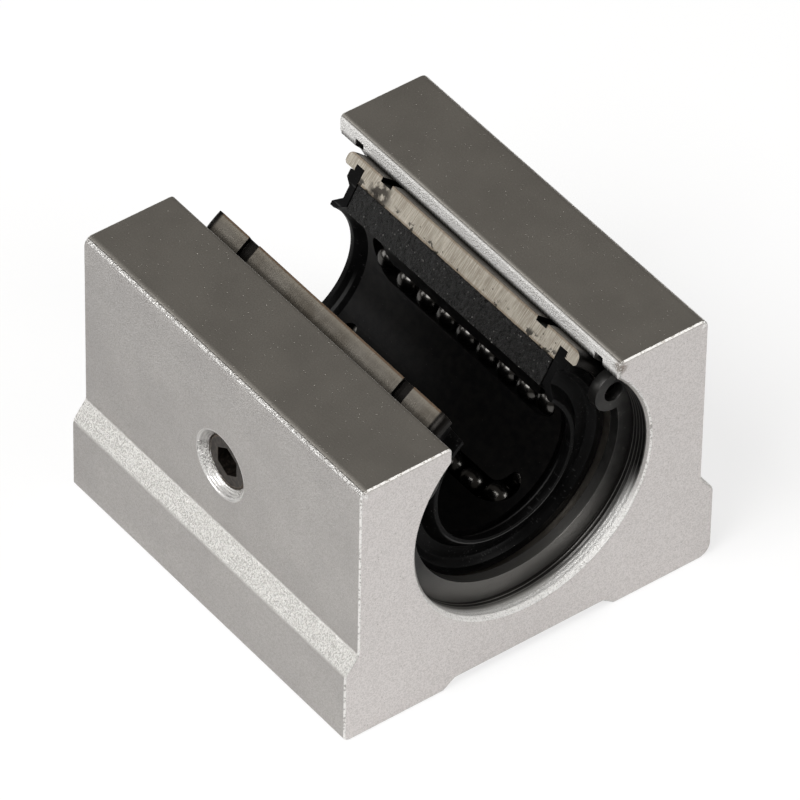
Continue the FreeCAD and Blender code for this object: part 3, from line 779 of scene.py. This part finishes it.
def burr_recipe():
    """Geometry nodes: an uneven thread of metal along a line of points."""
    group, work, given = new_recipe(
        "burr_along_edge",
        Thickness="Float",
        Wander="Float",
        Lumps="Float",
        Steps="Int",
        Finish="Material",
    )
    line = work.node("GeometryNodeMeshToCurve", Mesh=given["Geometry"])
    steps = work.node("GeometryNodeResampleCurve", Curve=line.outputs[0], Count=given["Steps"])
    here = work.node("GeometryNodeInputPosition").outputs[0]
    uneven = work.node("ShaderNodeTexNoise", Vector=here, Scale=given["Lumps"], Detail=3.0)
    centred = work.node(
        "ShaderNodeVectorMath",
        {"operation": "SUBTRACT"},
        at_0=uneven.outputs["Color"],
        at_1=(0.5, 0.5, 0.5),
    )
    offset = work.node(
        "ShaderNodeVectorMath",
        {"operation": "SCALE"},
        at_0=centred.outputs[0],
        Scale=given["Wander"],
    )
    moved = work.node(
        "GeometryNodeSetPosition", Geometry=steps.outputs[0], Offset=offset.outputs[0]
    )
    swell = work.node(
        "ShaderNodeMapRange",
        Value=uneven.outputs[0],
        From_Min=0.35,
        From_Max=0.65,
        To_Min=0.25,
        To_Max=1.5,
    )
    sized = work.node(
        "GeometryNodeSetCurveRadius", Curve=moved.outputs[0], Radius=swell.outputs[0]
    )
    ring = work.node("GeometryNodeCurvePrimitiveCircle", Resolution=6, Radius=given["Thickness"])
    tube = work.node(
        "GeometryNodeCurveToMesh",
        Curve=sized.outputs[0],
        Profile_Curve=ring.outputs[0],
        Scale=swell.outputs[0],
        Fill_Caps=True,
    )
    real = work.node("GeometryNodeRealizeInstances", Geometry=tube.outputs[0])
    paint_and_end(work, real, given["Finish"])
    return group


def inner_edge_ends(mesh, sign):
    """The two ends of the inner edge of the cut face on one side."""
    edge = []
    for face in mesh.polygons:
        if face.material_index == 1 and face.center.x * sign >= 0:
            for index in face.vertices:
                place = mesh.vertices[index].co
                radius = math.hypot(place.x, place.z - SHAFT_LEVEL * MM) / MM
                if radius < SLEEVE_INNER_RADIUS + 0.3:
                    edge.append(place)
    return min(edge, key=lambda place: place.y), max(edge, key=lambda place: place.y)


def make_burrs(sleeve, material):
    """A bright ragged burr along the inner edge of each cut face of the sleeve."""
    group = burr_recipe()
    for side, sign in (("left", -1), ("right", 1)):
        line = bpy.data.meshes.new("sleeve_burr_" + side)
        line.from_pydata(inner_edge_ends(sleeve.data, sign), [(0, 1)], [])
        piece = place_piece("sleeve_burr_" + side, line)
        grow(
            piece,
            group,
            Thickness=0.05 * MM,
            Wander=0.18 * MM,
            Lumps=1100.0,
            Steps=260,
            Finish=material,
        )
        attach(piece, "block")


# Studio


def area_light(name, place, size, power):
    """A soft lamp aimed at the middle of the block."""
    aim = Vector((0, 0, 0.015))
    lamp = bpy.data.lights.new(name, "AREA")
    lamp.shape = "RECTANGLE"
    lamp.size, lamp.size_y = size
    lamp.energy = power
    holder = bpy.data.objects.new(name, lamp)
    holder.location = place
    holder.rotation_mode = "QUATERNION"
    holder.rotation_quaternion = (aim - Vector(place)).to_track_quat("-Z", "Y")
    bpy.context.scene.collection.objects.link(holder)


def studio_floor():
    """White paper under the block, on which shadows stay weak for the camera."""
    reach = 1.6
    level = -0.02 * MM
    corners = [(x * reach, y * reach, level) for x, y in ((-1, -1), (1, -1), (1, 1), (-1, 1))]
    mesh = bpy.data.meshes.new("studio_floor")
    mesh.from_pydata(corners, [], [(0, 1, 2, 3)])
    floor = bpy.data.objects.new("studio_floor", mesh)
    bpy.context.scene.collection.objects.link(floor)
    paper = bpy.data.materials.new("white_paper")
    paper.use_nodes = True
    work = Tree(paper.node_tree)
    work.tree.nodes.clear()
    matt = work.node("ShaderNodeBsdfDiffuse", Color=(0.86, 0.86, 0.86, 1))
    pale = work.node("ShaderNodeBsdfDiffuse", Color=(0.28, 0.28, 0.28, 1))
    lit = work.node("ShaderNodeEmission", Color=(1, 1, 1, 1), Strength=0.74)
    both = work.node("ShaderNodeAddShader", at_0=pale.outputs[0], at_1=lit.outputs[0])
    ray = work.node("ShaderNodeLightPath").outputs["Is Camera Ray"]
    chosen = work.node(
        "ShaderNodeMixShader", at_0=ray, at_1=matt.outputs[0], at_2=both.outputs[0]
    )
    work.node("ShaderNodeOutputMaterial", Surface=chosen.outputs[0])
    mesh.materials.append(paper)


def studio_world():
    """A white backdrop for the camera and a dim warm room for everything else."""
    world = bpy.data.worlds.new("studio_world")
    bpy.context.scene.world = world
    world.use_nodes = True
    work = Tree(world.node_tree)
    work.tree.nodes.clear()
    seen = work.node("ShaderNodeBackground", Color=(1, 1, 1, 1), Strength=1.0)
    room = work.node("ShaderNodeBackground", Color=(1.0, 0.95, 0.88, 1), Strength=0.16)
    ray = work.node("ShaderNodeLightPath")
    chosen = work.node(
        "ShaderNodeMixShader",
        at_0=ray.outputs["Is Camera Ray"],
        at_1=room.outputs[0],
        at_2=seen.outputs[0],
    )
    work.node("ShaderNodeOutputWorld", Surface=chosen.outputs[0])


def studio_camera():
    """A long lens from above the front left corner."""
    camera = bpy.data.cameras.new("studio_camera")
    camera.lens = 438.24
    camera.sensor_width = 36.0
    camera.clip_start = 0.05
    camera.clip_end = 20.0
    holder = bpy.data.objects.new("studio_camera", camera)
    place = Matrix.Translation((-0.42597, -0.55331, 0.66128))
    ahead = Vector((0.4486, 0.5815, -0.6787)).normalized()
    right = Vector((0.7992, -0.6009, 0.0134))
    right = (right - ahead * right.dot(ahead)).normalized()
    up = right.cross(ahead)
    turn = Matrix((right, up, -ahead)).transposed().to_4x4()
    holder.matrix_world = place @ turn
    bpy.context.scene.collection.objects.link(holder)
    bpy.context.scene.camera = holder


aluminium = Aluminium().made()
sleeve_skins = [ground_steel(), cut_steel(), race_steel()]
rubber = seal_rubber()
spring = ring_steel()

dressed("housing_block", "block", [aluminium], edge=0.10)
sleeve = dressed(
    "outer_sleeve", "block", sleeve_skins, edge=0.06, rule=sleeve_face
)
make_burrs(sleeve, sleeve_skins[1])
dressed(
    "ball_cage", "block", [cage_resin(), cut_resin()], edge=0.0, rule=cage_face
)
for end in ("front", "rear"):
    dressed(end + "_seal", "block", [rubber], edge=0.05)
    dressed(end + "_snap_ring", "block", [spring], edge=0.08)
dressed("set_screw", "block", [blackened_steel()], edge=0.05)
make_balls(ball_steel())

studio_floor()
studio_world()
studio_camera()
area_light("key_light", (-0.62, -0.12, 0.80), size=(0.6, 0.6), power=9.0)
area_light("left_light", (-0.72, 0.62, 0.42), size=(0.6, 0.4), power=2.2)
area_light("right_light", (0.50, -0.72, 0.50), size=(0.5, 0.4), power=3.4)

bpy.context.scene.view_settings.view_transform = "Standard"
